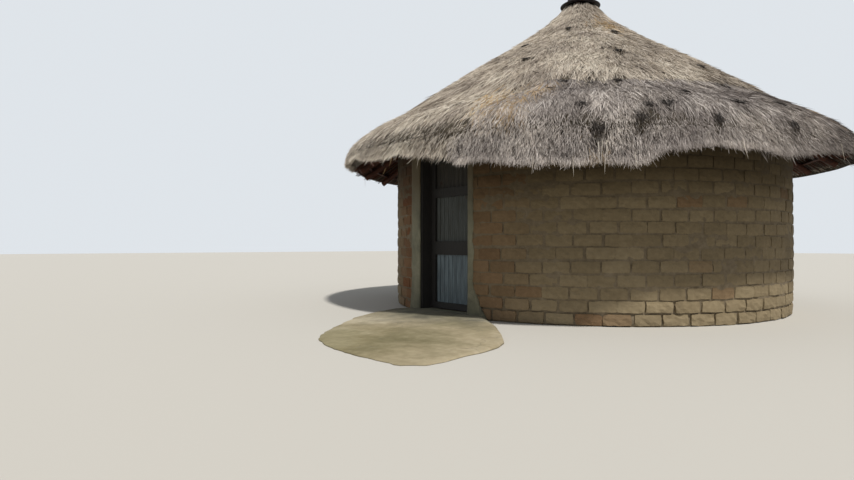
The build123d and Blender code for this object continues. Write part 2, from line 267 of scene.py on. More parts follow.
def cement(name, dark, middle, light, crackSize, dustAndLight=None, muddy=None):
    # hand-trowelled cement: grey-green, chalky, with hairline cracks
    material, tree, shader, place = newMaterial(name, 0.88, 0.3)
    stains = noiseOf(tree, place, 3.0, 7.0, 0.62)["Fac"]
    trowel = noiseOf(tree, place, 14.0, 4.0)["Fac"]
    grit = noiseOf(tree, place, 220.0, 2.0)["Fac"]
    wander = noiseOf(tree, place, 4.0, 3.0)
    bent = blend(tree, "ADD", 0.35, place, wander["Color"])
    crack = addNode(tree, "ShaderNodeTexVoronoi", {"feature": "DISTANCE_TO_EDGE"},
                    {"Vector": bent, "Scale": 1 / crackSize}).outputs["Distance"]
    # the cracks fade out where the noise is high
    line = remap(tree, crack, 0.0, 0.007, remap(tree, wander["Fac"], 0.44, 0.6, 1.0, 0.4), 1.0)
    ground = colourRamp(tree, stains, [(0.32, dark), (0.52, middle), (0.7, light)])
    if dustAndLight:
        # painted shade and dust: near the door the cement stays grey and darker as painted shade, and farther
        # out it takes paler tan dust colours with painted light
        away = timesPlus(tree, stains, 0.9, distanceTo(tree, place, (0.1, -2.5, 0.05)))
        dustAndLightColour = colourRamp(tree, trowel, list(zip((0.36, 0.52, 0.66), dustAndLight)))
        ground = blend(tree, "MIX", remap(tree, away, 1.1, 1.9, 0.0, 0.8), ground, dustAndLightColour)
        blotches = colourRamp(tree, noiseOf(tree, place, 0.9, 3.0, 0.5, 0.4)["Fac"],
                              [(0.38, "#CBCABD"), (0.5, "#E9E6DE"), (0.6, "#FFFFFF")])
        ground = blend(tree, "MULTIPLY", 1.0, ground, blotches)
        # the low outer end stays damp and has turned olive
        damp = timesPlus(tree, stains, 1.2, distanceTo(tree, place, (0.8, -4.8, 0.0)))
        mossy = remap(tree, damp, 1.1, 1.9, 0.9, 0.0)
        ground = blend(tree, "MULTIPLY", mossy, ground, hexColour("#C3C4B0"))
    if muddy:
        # mud from the wall above has run over the cement
        ran = timesPlus(tree, stains, 0.9, levelOf(tree, place))
        ground = blend(tree, "MIX", remap(tree, ran, 1.5, 2.15, 0.0, 0.85), ground, hexColour(muddy))
    relief = bump(tree, grit, 0.35, 0.002, bump(tree, trowel, 0.5, 0.006))
    setInputs(shader, {"Base Color": blend(tree, "MIX", line, hexColour(dark), ground),
                       "Normal": bump(tree, line, 0.5, 0.003, relief)})
    return material


def straw(name, stops, patchStops, root=0.6):
    # weathered thatching grass: each stalk has its own tone, greyed where rain and sun reach it
    material, tree, shader, place = newMaterial(name, 0.7, 0.25)
    patches = colourRamp(tree, noiseOf(tree, place, 1.6, 5.0, 0.65)["Fac"], patchStops)
    grass = blend(tree, "MULTIPLY", 1.0, colourRamp(tree, readAttribute(tree, "tone"), stops), patches)
    # painted shade: each stalk is darkened towards its root, where it comes out from under the others, and
    # stays pale towards its sun-whitened tip
    rootShade = remap(tree, readAttribute(tree, "end"), 0.0, 0.55, root, 1.0)
    shaded = addNode(tree, "ShaderNodeVectorMath", {"operation": "SCALE"}, {0: grass, "Scale": rootShade})
    setInputs(shader, {"Base Color": shaded.outputs[0]})
    return material


def strawMass(name, dark, middle, light):
    # packed straw below the loose stalks: dark old straw, darkened to near black as painted shade deep among
    # the stalks and under the eave
    material, tree, shader, place = newMaterial(name, 0.85)
    fibres = noiseOf(tree, place, 60.0, 6.0, 0.7)["Fac"]
    patches = noiseOf(tree, place, 3.0, 5.0)["Fac"]
    share = timesPlus(tree, patches, 0.4, timesPlus(tree, fibres, 0.6, 0.0))
    setInputs(shader, {"Base Color": colourRamp(tree, share, [(0.38, dark), (0.5, middle), (0.64, light)]),
                       "Normal": bump(tree, fibres, 1.0, 0.02)})
    return material


def timber(name, dark, light, stretch, grainSize):
    # weathered timber: long grain, dry cracks, no varnish
    material, tree, shader, place = newMaterial(name, 0.8)
    grain = noiseOf(tree, stretched(tree, place, stretch), 1 / grainSize, 6.0, 0.65)["Fac"]
    setInputs(shader, {"Base Color": colourRamp(tree, grain, [(0.35, dark), (0.68, light)]),
                       "Normal": bump(tree, grain, 0.6, 0.004)})
    return material


def sheetIron(name, clean, dull, rust, metal, roughness, rustShare):
    # rolled iron sheet: dulled zinc with rust where the zinc has gone
    material, tree, shader, place = newMaterial(name, roughness)
    streaks = noiseOf(tree, stretched(tree, place, (1, 1, 0.12)), 28.0, 5.0)["Fac"]
    spots = noiseOf(tree, place, 9.0, 7.0, 0.7)["Fac"]
    zinc = colourRamp(tree, streaks, [(0.35, dull), (0.65, clean)])
    rusty = remap(tree, spots, rustShare, rustShare + 0.08, 0.0, 1.0)
    setInputs(shader, {"Base Color": blend(tree, "MIX", rusty, zinc, hexColour(rust)),
                       "Metallic": remap(tree, rusty, 0.0, 1.0, metal, 0.0),
                       "Roughness": remap(tree, rusty, 0.0, 1.0, roughness, 0.9),
                       "Normal": bump(tree, spots, 0.3, 0.002)})
    return material


floorMaterial, _, floorShader, _ = newMaterial("paleStudioFloor", 0.9)
setInputs(floorShader, {"Base Color": hexColour("#BDBAB3")})
floorSize, floorLevel = 60.0, -0.002
floorCorners = [(x * floorSize, y * floorSize, floorLevel) for x, y in ((-1, -1), (1, -1), (1, 1), (-1, 1))]
floor = makeObject("studioFloor", floorCorners, [(0, 1, 2, 3)], floorMaterial, smooth=False)
bpy.context.scene.view_settings.view_transform = "Standard"
print("hut: camera, light and floor placed")

# painted shade by height: multipliers from the foot up to the wall's top, the wall darkening towards the eave
# as if in its shade
wallPaintedShade = [(0.0, "#FFFFFF"), (0.16, "#F4F2EE"), (0.34, "#E6E4E0"), (0.62, "#DEDBD4"), (0.8, "#9D978B"),
               (1.0, "#6A6458")]
brickMud = mudBrick("sunDriedBrick", "#6B604C", "#8A7C63", "#A3957A", tone="tone", red="red",
                    darkening=wallPaintedShade)
jointMud = mudBrick("mudMortar", "#615747", "#807461", "#988B77", darkening=wallPaintedShade)
earth = mudBrick("rammedEarth", "#4A3A28", "#6B573D", "#846F50", grit=0.006)
plasterCement = cement("doorwayCement", "#5A594C", "#7A7865", "#8E8B77", 0.6, muddy="#4F4330")
# the apron's outer colours: tan dust, paler as painted light away from the painted shade by the door
apronCement = cement("apronCement", "#5F5D52", "#7A7768", "#908C79", 0.9,
                     dustAndLight=("#ADA188", "#B7AB92", "#C1B59D"))
paleStraw = straw("paleThatchGrass", [(0.0, "#463D34"), (0.2, "#958B7F"), (0.55, "#DAD1C5"),
                                      (0.95, "#FAF5EC"), (1.0, "#C4A980")],
                  [(0.35, "#C6C1BD"), (0.5, "#E9E5E0"), (0.66, "#FFFEFA")])
greyStraw = straw("greyThatchGrass", [(0.0, "#3B3531"), (0.2, "#7F7772"), (0.55, "#BDB6B0"),
                                      (0.95, "#FAF4EE"), (1.0, "#B8A07C")],
                  [(0.35, "#C4C0C0"), (0.5, "#E0DDDC"), (0.66, "#FBF8F5")])
# packed straw near black: painted shade among the loose stalks and under the eave
strawBelow = strawMass("packedStraw", "#251F16", "#443B2E", "#5E5342")
reedWood = straw("redBrownReed", [(0.0, "#22110A"), (0.5, "#4A2515"), (1.0, "#6C3D25")],
                 [(0.35, "#B9AFA6"), (0.66, "#FFFFFF")], root=1.0)
# the poles are dark red-brown, darkened further as painted shade under the eave
poleWood = timber("peeledPole", "#2E170E", "#5E3320", (1, 1, 1), 0.03)
darkTimber = timber("weatheredDoorTimber", "#121110", "#28241F", (14, 14, 1), 0.12)
roofingIron = sheetIron("dullZincSheet", "#67747A", "#4B565B", "#4A3428", 0.3, 0.5, 0.66)
# the middle and upper sheets step darker upward: dirt, and painted shade under the eave
dirtyShadedIron = sheetIron("dirtyShadedZincSheet", "#474B48", "#33352F", "#43301F", 0.2, 0.6, 0.6)
darkShadedIron = sheetIron("darkShadedZincSheet", "#353128", "#24211A", "#2E2117", 0.15, 0.7, 0.6)
basinIron = sheetIron("rustedEnamelBasin", "#3B332E", "#231D1A", "#4A2E20", 0.25, 0.6, 0.52)
hingeIron = sheetIron("blackHingeIron", "#33302E", "#221F1E", "#4A2E20", 0.5, 0.5, 0.6)

strawNodes = ("thatch_front_left", "thatch_front_right", "thatch_back_left", "thatch_back_right",
              "second_layer", "front_lobe", "straw_collar")
dressed = (
    (strawBelow, strawNodes),
    (poleWood, ("wall_plate", "long_rafters", "short_rafters", "roof_hoops", "apex_post")),
    (darkTimber, ("left_post", "right_post", "frame_head", "left_stile", "right_stile",
                  "bottom_rail", "middle_rail", "upper_rail", "top_rail")),
    (roofingIron, ("lower_sheet",)), (dirtyShadedIron, ("middle_sheet",)), (darkShadedIron, ("upper_sheet",)),
    (hingeIron, ("frame_hinges", "leaf_hinges")), (basinIron, ("apex_basin",)), (earth, ("room_floor",)),
    (plasterCement, ("threshold", "left_plaster", "right_plaster")), (apronCement, ("apron",)),
    (jointMud, ("wall_over_door",)),
)
for material, names in dressed:
    for node in names:
        dress(node, material)
print("hut: materials made")

# Geometry Nodes: things laid at marked points


def markedPoints(name, places, along, reach, width, tone, red=None):
    # loose vertices that carry where a thing lies, how long and wide it is, and its tone
    mesh = bpy.data.meshes.new(name)
    mesh.vertices.add(len(places))
    mesh.vertices.foreach_set("co", np.asarray(places, np.float32).ravel())
    marks = {"along": along, "reach": reach, "width": width, "tone": tone, "red": red}
    for key, values in marks.items():
        if values is None:
            continue
        kind, part = ("FLOAT_VECTOR", "vector") if key == "along" else ("FLOAT", "value")
        attribute = mesh.attributes.new(key, kind, "POINT")
        attribute.data.foreach_set(part, np.asarray(values, np.float32).ravel())
    mesh.update()
    return addObject(name, mesh)


def newTree(name, sizes):
    # a node tree and its inputs, given as name, kind of socket and usual value
    tree = bpy.data.node_groups.new(name, "GeometryNodeTree")
    tree.interface.new_socket("Geometry", in_out="INPUT", socket_type="NodeSocketGeometry")
    tree.interface.new_socket("Geometry", in_out="OUTPUT", socket_type="NodeSocketGeometry")
    for key, kind, value in sizes:
        socket = tree.interface.new_socket(key, in_out="INPUT", socket_type=kind)
        if value is not None:
            socket.default_value = value
    return tree, addNode(tree, "NodeGroupInput").outputs


def readMark(tree, key, kind="FLOAT"):
    node = addNode(tree, "GeometryNodeInputNamedAttribute", {"data_type": kind}, {"Name": key})
    return node.outputs["Attribute"]


def levelHere(tree):
    return levelOf(tree, addNode(tree, "GeometryNodeInputPosition").outputs[0])


def turnedAlong(tree, axes, turn):
    # an axis laid along the mark's line, then a turn of the thing's own
    line = readMark(tree, "along", "FLOAT_VECTOR")
    aim = addNode(tree, "FunctionNodeAlignRotationToVector", axes, {"Vector": line})
    turned = addNode(tree, "FunctionNodeRotateRotation", {"rotation_space": "LOCAL"},
                     {0: aim.outputs[0], 1: turn})
    return turned.outputs[0]


def sizeOf(tree, x, y, z):
    return addNode(tree, "ShaderNodeCombineXYZ", None, {"X": x, "Y": y, "Z": z}).outputs[0]


def laidForms(tree, points, form, rotation, size):
    # the form at every point, as real geometry
    laid = addNode(tree, "GeometryNodeInstanceOnPoints", None,
                   {"Points": points, "Instance": form, "Rotation": rotation, "Scale": size})
    return addNode(tree, "GeometryNodeRealizeInstances", None, {"Geometry": laid.outputs[0]}).outputs[0]


def endTree(tree, geometry, material):
    coloured = addNode(tree, "GeometryNodeSetMaterial", None,
                       {"Geometry": geometry, "Material": material})
    addNode(tree, "NodeGroupOutput", None, {"Geometry": coloured.outputs[0]})
    return tree


def strawTree():
    # every marked point gets a three-sided stalk, tapered to its tip, along its own line
    tree, given = newTree("layStraw", [("Tip", "NodeSocketFloat", 0.0),
                                       ("Material", "NodeSocketMaterial", None),
                                       ("Seed", "NodeSocketInt", 1)])
    stalk = addNode(tree, "GeometryNodeMeshCone", {"fill_type": "NGON"},
                    {"Vertices": 3, "Side Segments": 1, "Fill Segments": 1,
                     "Radius Top": given["Tip"], "Radius Bottom": 0.5, "Depth": 1.0})
    marked = addNode(tree, "GeometryNodeStoreNamedAttribute", {"data_type": "FLOAT", "domain": "POINT"},
                     {"Geometry": stalk.outputs["Mesh"], "Name": "end", "Value": levelHere(tree)})
    spin = addNode(tree, "FunctionNodeRandomValue", {"data_type": "FLOAT"},
                   {2: 0.0, 3: 2 * pi, "Seed": given["Seed"]})
    rotation = turnedAlong(tree, {"axis": "Z"}, sizeOf(tree, 0.0, 0.0, spin.outputs[1]))
    width = readMark(tree, "width")
    size = sizeOf(tree, width, width, readMark(tree, "reach"))
    straws = laidForms(tree, given["Geometry"], marked.outputs["Geometry"], rotation, size)
    return endTree(tree, straws, given["Material"])


def runTree(base, tree, values, name):
    # the evaluated result as a plain mesh piece; the base object goes
    modifier = base.modifiers.new("layout", "NODES")
    modifier.node_group = tree
    for item in tree.interface.items_tree:
        if item.item_type == "SOCKET" and item.in_out == "INPUT" and item.name in values:
            modifier[item.identifier] = values[item.name]
    base.update_tag()
    bpy.context.view_layer.update()
    evaluated = base.evaluated_get(bpy.context.evaluated_depsgraph_get())
    mesh = bpy.data.meshes.new_from_object(evaluated)
    mesh.name = name
    piece = addObject(name, mesh)
    bpy.data.objects.remove(base)
    return piece


# roof outline, in the leaning frame of the straw

roof = {
    "lean": 1.375, "leanHeading": 36.3, "leanLevel": 3.165,
    "eaveRadius": 3.436, "eaveTurnLevel": 1.95,
    # radius and level down the straw, from under the basin and round the eave
    "outline": [(0.235, 4.41), (0.262, 4.34), (0.36, 4.22), (0.6, 4.006), (1.1, 3.64), (1.7, 3.251),
                (2.3, 2.832), (2.8, 2.461), (3.0, 2.362), (3.15, 2.27), (3.27, 2.182), (3.36, 2.10),
                (3.41, 2.03), (3.434, 1.95), (3.436, 1.80), (3.436, 1.30)],
    # the later grey layer: where it starts, the headings of its left edge there and of its right edge, and
    # how far the left edge moves round for each metre down the slope
    "layerRadius": 2.62, "layerStart": 29, "layerEnd": 118, "layerAslant": 12,
    # ragged holes in the straw: heading, metres down the straw, size
    "holes": [(39, 3.21, 0.06), (42, 3.28, 0.04), (37.3, 3.85, 0.06), (47.5, 3.88, 0.06), (51, 3.84, 0.06),
              (64.3, 3.72, 0.08), (56, 3.5, 0.05), (33.5, 3.10, 0.05), (75, 3.62, 0.05), (45, 3.14, 0.05),
              (70, 3.14, 0.05), (84, 3.38, 0.05), (98, 3.5, 0.06), (39.7, 4.16, 0.06), (46, 4.06, 0.05),
              (58, 4.05, 0.04), (72, 4.05, 0.04), (17.7, 2.2, 0.045), (50.3, 2.14, 0.05), (75.7, 2.48, 0.05),
              (5, 1.5, 0.04), (60, 1.2, 0.04), (28, 1.0, 0.035), (-20, 2.6, 0.05), (130, 2.4, 0.06),
              (190, 2.0, 0.06), (250, 3.0, 0.06), (300, 2.2, 0.05)],
    # patches with fresher, tan straw
    "freshStraw": [(20, 3.55, 0.25), (25, 3.75, 0.2), (28.5, 3.35, 0.2), (-55, 2.1, 0.4), (-25, 2.9, 0.4),
                   (100, 3.0, 0.45), (88, 3.5, 0.2), (39.7, 4.25, 0.12), (60, 0.9, 0.25), (180, 2.5, 0.5),
                   (250, 1.6, 0.4)],
    # lowest straw by angle from the viewer, turning to the picture's left
    "hem": [(-180, 1.97), (-110, 1.92), (-85, 1.90), (-60, 1.83), (-49, 1.78), (-40, 1.73), (-33, 1.67),
            (-28, 1.71), (-18, 1.72), (-13, 1.69), (-10.5, 1.57), (-3, 1.58), (0, 1.59), (9, 1.59),
            (14, 1.65), (18.5, 1.63), (23.5, 1.71), (33, 1.80), (42, 1.83), (49, 1.89), (58, 1.94),
            (85, 2.0), (110, 2.04), (180, 1.97)],
}
leanAngle = radians(roof["lean"])
leanTurn = radians(roof["leanHeading"])
roofUp = Vector((cos(leanTurn) * sin(leanAngle), sin(leanTurn) * sin(leanAngle), cos(leanAngle)))
roofOrigin = Vector((0, 0, roof["leanLevel"])) - roofUp * roof["leanLevel"]
roofMatrix = np.array(Vector((0, 0, 1)).rotation_difference(roofUp).to_matrix())
outlineR, outlineZ = np.array(roof["outline"]).T
outlineS = np.concatenate([[0], np.cumsum(np.hypot(np.diff(outlineR), np.diff(outlineZ)))])
layerTop = float(np.interp(roof["layerRadius"], outlineR, outlineS))
eaveTurn = float(np.interp(-roof["eaveTurnLevel"], -outlineZ, outlineS))
hemAngle, hemLevel = np.array(roof["hem"]).T


def roofPoint(radius, angle, level):
    # arrays of radius, heading and level in the leaning frame to places in the hut's frame
    local = np.stack([radius * np.sin(angle), -radius * np.cos(angle), level], axis=1)
    return local @ roofMatrix.T + np.array(roofOrigin)


def alongOutline(down):
    # radius, level and outward normal (radial and upward part) at a length down the straw
    step = 0.05
    radius, level = np.interp(down, outlineS, outlineR), np.interp(down, outlineS, outlineZ)
    dr = np.interp(down + step, outlineS, outlineR) - np.interp(down - step, outlineS, outlineR)
    dz = np.interp(down + step, outlineS, outlineZ) - np.interp(down - step, outlineS, outlineZ)
    size = np.hypot(dr, dz)
    return radius, level, -dz / size, dr / size


def offRoof(down, angle, lift):
    # places at a height over the straw's outline
    radius, level, outPart, upPart = alongOutline(down)
    return roofPoint(radius + outPart * lift, angle, level + upPart * lift)


def straight(angle):
    # unit vectors outward and across for headings
    nothing = np.zeros(len(angle))
    return (np.stack([np.sin(angle), -np.cos(angle), nothing], axis=1),
            np.stack([np.cos(angle), np.sin(angle), nothing], axis=1))


def lengthAndLine(line):
    # lengths and unit vectors of an array of vectors
    length = np.linalg.norm(line, axis=1)
    return length, line / length[:, None]


def turnFrom(angle, turn):
    # degrees from a heading, from -180 to 180, for headings in radians
    return (np.degrees(angle) - turn + 180) % 360 - 180


def rise(value, start, over):
    # 0 up to a start, then a ramp to 1
    return np.clip((value - start) / over, 0, 1)


def smoothNoise(x, y, z, seed):
    # sum of a few plane waves: a soft, repeatable unevenness from -1 to 1
    waves = np.random.default_rng(seed)
    total = np.zeros_like(x)
    for size in (1.0, 2.1, 4.3):
        for k in range(3):
            direction = waves.normal(size=3)
            direction /= np.linalg.norm(direction)
            phase = waves.uniform(0, 2 * pi)
            along = x * direction[0] + y * direction[1] + z * direction[2]
            total += np.sin(along * size + phase) / size ** 0.7
    return total / 3.2


def hemAt(turn):
    # lowest straw at a heading in degrees
    seen = (camera["heading"] - turn + 180) % 360 - 180
    return np.interp(seen, hemAngle, hemLevel)


def hemDown(angle):
    # length down the straw where the hem lies, for headings in radians
    faceLevel = np.full(len(angle), 1.8)
    lifted = roofPoint(np.full(len(angle), roof["eaveRadius"]), angle, faceLevel)[:, 2] - faceLevel
    level = hemAt(np.degrees(angle)) - lifted
    return np.interp(-level, -outlineZ, outlineS)


def inLayer(angle, down):
    # the later layer: its left edge runs aslant down the slope
    turn = np.degrees(angle) % 360
    ragged = smoothNoise(np.sin(angle) * 14, np.cos(angle) * 14, down * 9, 77)
    left = roof["layerStart"] - roof["layerAslant"] * np.clip(down - layerTop, 0, 1.1) + 1.2 * ragged
    return (turn > left) & (turn < roof["layerEnd"] + 1.5 * ragged) & (down > layerTop + 0.05 * ragged)


def outsideLayer(angle, down):
    # the older straw reaches a little way under the layer
    return ~inLayer(angle, down - 0.1)


# loose straw: each laid stalk stands for a small bunch

quickShare = 1.0
handfuls = 4096
# handfuls that share tone, swing and lift: width, length down the slope, how far their tips draw together,
# grooves between them, spread of tone between handfuls and between stalks, share of black stalks, ragged ends
slopeTuft = {"wide": 0.075, "long": 0.16, "gather": 0.5, "groove": 0.35, "tone": 0.09, "stalkTone": 0.17,
             "black": 0.07, "ragged": 0.014}
hemTuft = {"wide": 0.05, "long": 0.04, "gather": 0.9, "groove": 1.0, "tone": 0.27, "stalkTone": 0.24,
           "black": 0.22, "ragged": 0.009}
lie = {
    # degrees that handfuls and whole stretches swing aside, and the most that a stalk swings, in radians
    "swing": 6, "drift": 8, "most": 0.9,
    # height of the tips over the outline: mean, base, spread by handful, and less in the hem's grooves
    "tip": 0.006, "base": -0.001, "lift": 0.003, "groove": 0.008,
    # hem: waves, stalks that hang lower, depth of the fringe, how far a fringe stalk starts up the slope
    "hemWave": 0.024, "strayShare": 0.05, "stray": (0.01, 0.05), "hemDeep": 0.10, "hemEnd": 0.032,
    "hemStart": 0.22,
    # round the eave the slope's stalks are cut short and sink in at the root; none comes out underneath
    "faceFrom": 0.28, "faceOver": 0.22, "faceCut": 0.45, "faceSink": 0.085, "deepest": 0.10,
}
tones = {
    "mean": 0.51, "clump": 0.08, "wide": 0.06, "darkening": 0.2, "groove": 0.3, "groovePart": 0.11,
    "hem": 0.32, "hemDeep": 3.0, "bend": 0.22, "face": 0.16, "blackPart": 0.2, "freshShare": 0.6,
    # the lower straw is darker towards both ends of the front, more so to the right, and fades to the back:
    # ramps by heading from the front's middle and by the length down the straw, as start and width
    "front": 40, "ends": (22, 40), "back": (105, 60), "lower": (2.0, 0.8), "right": 2.2, "left": 0.55,
    # painted light: paler where the straw bends round the eave, less so to the right
    "bendFrom": (-0.55, 0.3), "bendRight": (15, 30), "bendLess": 0.7,
    # the upper straw is evenly bleached, the lower straw more mixed
    "mixedDown": (2.2, 3.5), "mixed": (0.55, 0.9),
    # round a hole most stalks are missing and the rest is darkened as painted shade
    "holeShare": 0.15, "holeRim": 1.5, "holeRimShade": 0.62,
}


def layStalks(name, foot, tip, width, tone, material, slot, seed, blunt=0.0):
    # stalks from foot to tip; the blunt part of their width is left at the tip
    reach, along = lengthAndLine(tip - foot)
    points = markedPoints(name + "Marks", foot, along, reach, width, tone)
    piece = runTree(points, layTree, {"Material": material, "Seed": seed, "Tip": blunt}, name)
    finishPiece(piece, "hut", slot)


def strawTone(chance, seed, stalks, facts, fringe):
    # tone of each stalk, from 0 for black to 0.95 for bleached, and 1 for fresh straw
    angle, start, radius = stalks["angle"], stalks["start"], stalks["radius"]
    x, y, z = np.sin(angle) * radius, -np.cos(angle) * radius, stalks["level"]
    clump = smoothNoise(x * 10, y * 10, z * 10, seed + 2)
    wide = smoothNoise(x * 2, y * 2, z * 2, 5)
    aside = turnFrom(angle, tones["front"])
    offFront = np.abs(aside)
    darkening = rise(offFront, *tones["ends"]) * rise(start, *tones["lower"])
    darkening *= np.where(aside > 0, tones["right"], tones["left"]) * (1 - rise(offFront, *tones["back"]))
    bend = rise(start - eaveTurn, *tones["bendFrom"])
    bend *= 1 - tones["bendLess"] * rise(aside, *tones["bendRight"])
    mixed = np.ones(len(angle)) if fringe else np.interp(start, tones["mixedDown"], tones["mixed"])
    tone = tones["mean"] - tones["darkening"] * darkening
    tone += mixed * (tones["clump"] * clump + tones["wide"] * wide)
    tone += mixed * (facts["tone"] * stalks["tuftTone"] + chance.normal(0, facts["stalkTone"], len(angle)))
    # painted light and shade in the fringe: the whole hem is made paler against its shade, and a stalk is
    # darker the deeper it is sunk among the others
    if fringe:
        tone += tones["hem"] - tones["hemDeep"] * stalks["deep"]
    else:
        # painted light: stalks round the bend of the eave, most of all on its face, are made paler against
        # their shade there
        tone += (tones["bend"] + tones["face"] * stalks["onFace"]) * bend
    # painted shade: stalks are darker in the grooves between handfuls and paler in their middles
    tone = np.clip(tone - tones["groove"] * (stalks["groove"] - tones["groovePart"]), 0, 0.95)
    # black stalks: some dark straw, and painted shade of the gaps among the stalks
    black = chance.uniform(0, 1, len(angle)) < facts["black"] * mixed
    tone = np.where(black, tone * tones["blackPart"], tone)
    middle = (start + stalks["end"]) / 2
    for turn, down, size in roof["freshStraw"]:
        away = np.hypot(np.radians(turnFrom(angle, turn)) * radius, (middle - down) * 0.5) / size
        fresh = chance.uniform(0, 1, len(angle)) < tones["freshShare"] * (1 - away)
        tone = np.where(fresh, 1.0, tone)
    return tone


def openHoles(chance, stalks, tone):
    # which stalks stay, and the painted shade round the holes
    kept = np.ones(len(tone), bool)
    for turn, down, size in roof["holes"]:
        beyond = np.maximum(np.maximum(stalks["start"] - down, down - stalks["end"]), 0)
        away = np.hypot(np.radians(turnFrom(stalks["angle"], turn)) * stalks["radius"], beyond) / size
        kept &= (away > 1) | (chance.uniform(0, 1, len(tone)) < tones["holeShare"])
        tone = np.where(away < tones["holeRim"], tone * tones["holeRimShade"], tone)
    return kept, tone


def evenPlaces(chance, count, first, last):
    # lengths down the straw and headings, even over the area: more places where the ring is wide
    table = np.linspace(first, last, 200)
    share = np.cumsum(np.interp(table, outlineS, outlineR))
    start = np.interp(chance.uniform(share[0], share[-1], count), share, table)
    return start, chance.uniform(0, 2 * pi, count)


def handfulOf(angle, start, row, wide, seed):
    # the four draws of the handful that a stalk lies in, and its place across it from -0.5 to 0.5
    column = angle * np.interp(start, outlineS, outlineR) / wide + 0.37 * row
    number = (np.floor(column) * 131 + row * 17).astype(int) % handfuls
    draws = np.random.default_rng(seed + 7).normal(0, 1, (4, handfuls))
    return draws[:, number], column - np.floor(column) - 0.5


def layStraw(name, count, first, last, seed, material, slot, keep=None, proud=0.0, fringe=False,
             length=(0.16, 0.36), width=(0.008, 0.015), scatter=15, bury=(0.0, 0.010)):
    # stalks between two lengths down the straw, or a fringe of them at the hem
    chance = np.random.default_rng(seed)
    facts = hemTuft if fringe else slopeTuft
    start, angle = evenPlaces(chance, count, first, last)
    if keep is not None:
        kept = keep(angle, start)
        start, angle = start[kept], angle[kept]
    count = len(start)
    reach = chance.uniform(*length, count)
    onFace = rise(start, eaveTurn - lie["faceFrom"], lie["faceOver"]) * (not fringe)
    reach *= 1 - lie["faceCut"] * onFace
    x, y = np.sin(angle), -np.cos(angle)
    rough = smoothNoise(x * 48, y * 48, x * 0, seed + 3)
    bottom = hemDown(angle) + lie["hemWave"] * rough + chance.normal(0, facts["ragged"], count)
    bottom += (chance.uniform(0, 1, count) < lie["strayShare"]) * chance.uniform(*lie["stray"], count)
    deep = chance.uniform(0, 1, count) ** 1.5 * lie["hemDeep"] if fringe else np.zeros(count)
    row = np.floor((deep if fringe else start) / facts["long"])
    (tuftTone, tuftSwing, tuftLift, tuftEnd), part = handfulOf(angle, start, row, facts["wide"], seed)
    offMiddle = 2 * np.abs(part)
    groove = offMiddle ** 2 * facts["groove"]
    if fringe:
        bottom += lie["hemEnd"] * (tuftEnd - 0.4 - offMiddle)
        back = lie["hemStart"] * (1 + 0.5 * rough) * chance.uniform(0, 1, count) ** 1.4
        start = bottom - deep * 0.25 - reach - back
    end = np.minimum(start + reach, bottom)
    start = end - reach
    sink = np.minimum(chance.uniform(*bury, count) - proud + deep + lie["faceSink"] * onFace, lie["deepest"])
    lift = chance.exponential(lie["tip"], count) + lie["base"] + proud - deep
    lift += lie["lift"] * np.clip(tuftLift, -1, 1.5) - lie["groove"] * groove * fringe
    foot, tip = offRoof(start, angle, -sink), offRoof(end, angle, lift)
    radius, level = alongOutline(start)[:2]
    drift = smoothNoise(x * radius * 3, y * radius * 3, level * 3, seed + 1)
    swing = np.radians(chance.normal(0, scatter, count) + lie["drift"] * drift + lie["swing"] * tuftSwing)
    aside = np.tan(np.clip(swing, -lie["most"], lie["most"])) * reach * 0.8
    aside -= part * facts["wide"] * facts["gather"]
    tip += straight(angle)[1] * aside[:, None]
    stalks = {"angle": angle, "start": start, "end": end, "radius": radius, "level": level, "onFace": onFace,
              "deep": deep, "groove": groove, "tuftTone": tuftTone}
    kept, tone = openHoles(chance, stalks, strawTone(chance, seed, stalks, facts, fringe))
    thick = chance.uniform(*width, count)
    layStalks(name, foot[kept], tip[kept], thick[kept], tone[kept], material, slot, seed)


layTree = strawTree()
strawPieces = {
    "upperStraw": dict(count=49500, first=0.02, last=2.6, seed=11, material=paleStraw, slot="thatch",
                       length=(0.12, 0.26), width=(0.009, 0.017), bury=(0.002, 0.014)),
    "lowerStraw": dict(count=61500, first=2.45, last=4.35, seed=12, material=paleStraw, slot="thatch",
                       keep=outsideLayer),
    "layerStraw": dict(count=182000, first=2.8, last=4.5, seed=13, material=greyStraw, slot="old_thatch",
                       keep=inLayer, proud=0.006, width=(0.009, 0.017)),
    "paleFringe": dict(count=38000, first=4.0, last=4.3, seed=14, material=paleStraw, slot="thatch",
                       keep=outsideLayer, fringe=True, length=(0.12, 0.26), width=(0.010, 0.019),
                       bury=(0.07, 0.10), scatter=18),
    "layerFringe": dict(count=70000, first=4.0, last=4.3, seed=15, material=greyStraw, slot="old_thatch",
                        keep=inLayer, fringe=True, proud=0.008, length=(0.08, 0.20), width=(0.010, 0.019),
                        bury=(0.055, 0.10), scatter=18),
}
for name, values in strawPieces.items():
    values["count"] = int(values["count"] * quickShare)
    layStraw(name, **values)
    print("hut: laid", name)

# painted shade: short black stalks scattered over the ragged holes stand for the shade in them; number a
# hole, sizes, height of root and tip, spread as a share of the hole's size, and metres that the tips lean
# aside
holeShade = {"stalks": 34, "length": (0.03, 0.08), "width": (0.010, 0.016), "lift": (0.004, 0.018),
          "across": 0.55, "down": 0.3, "lean": 0.015}


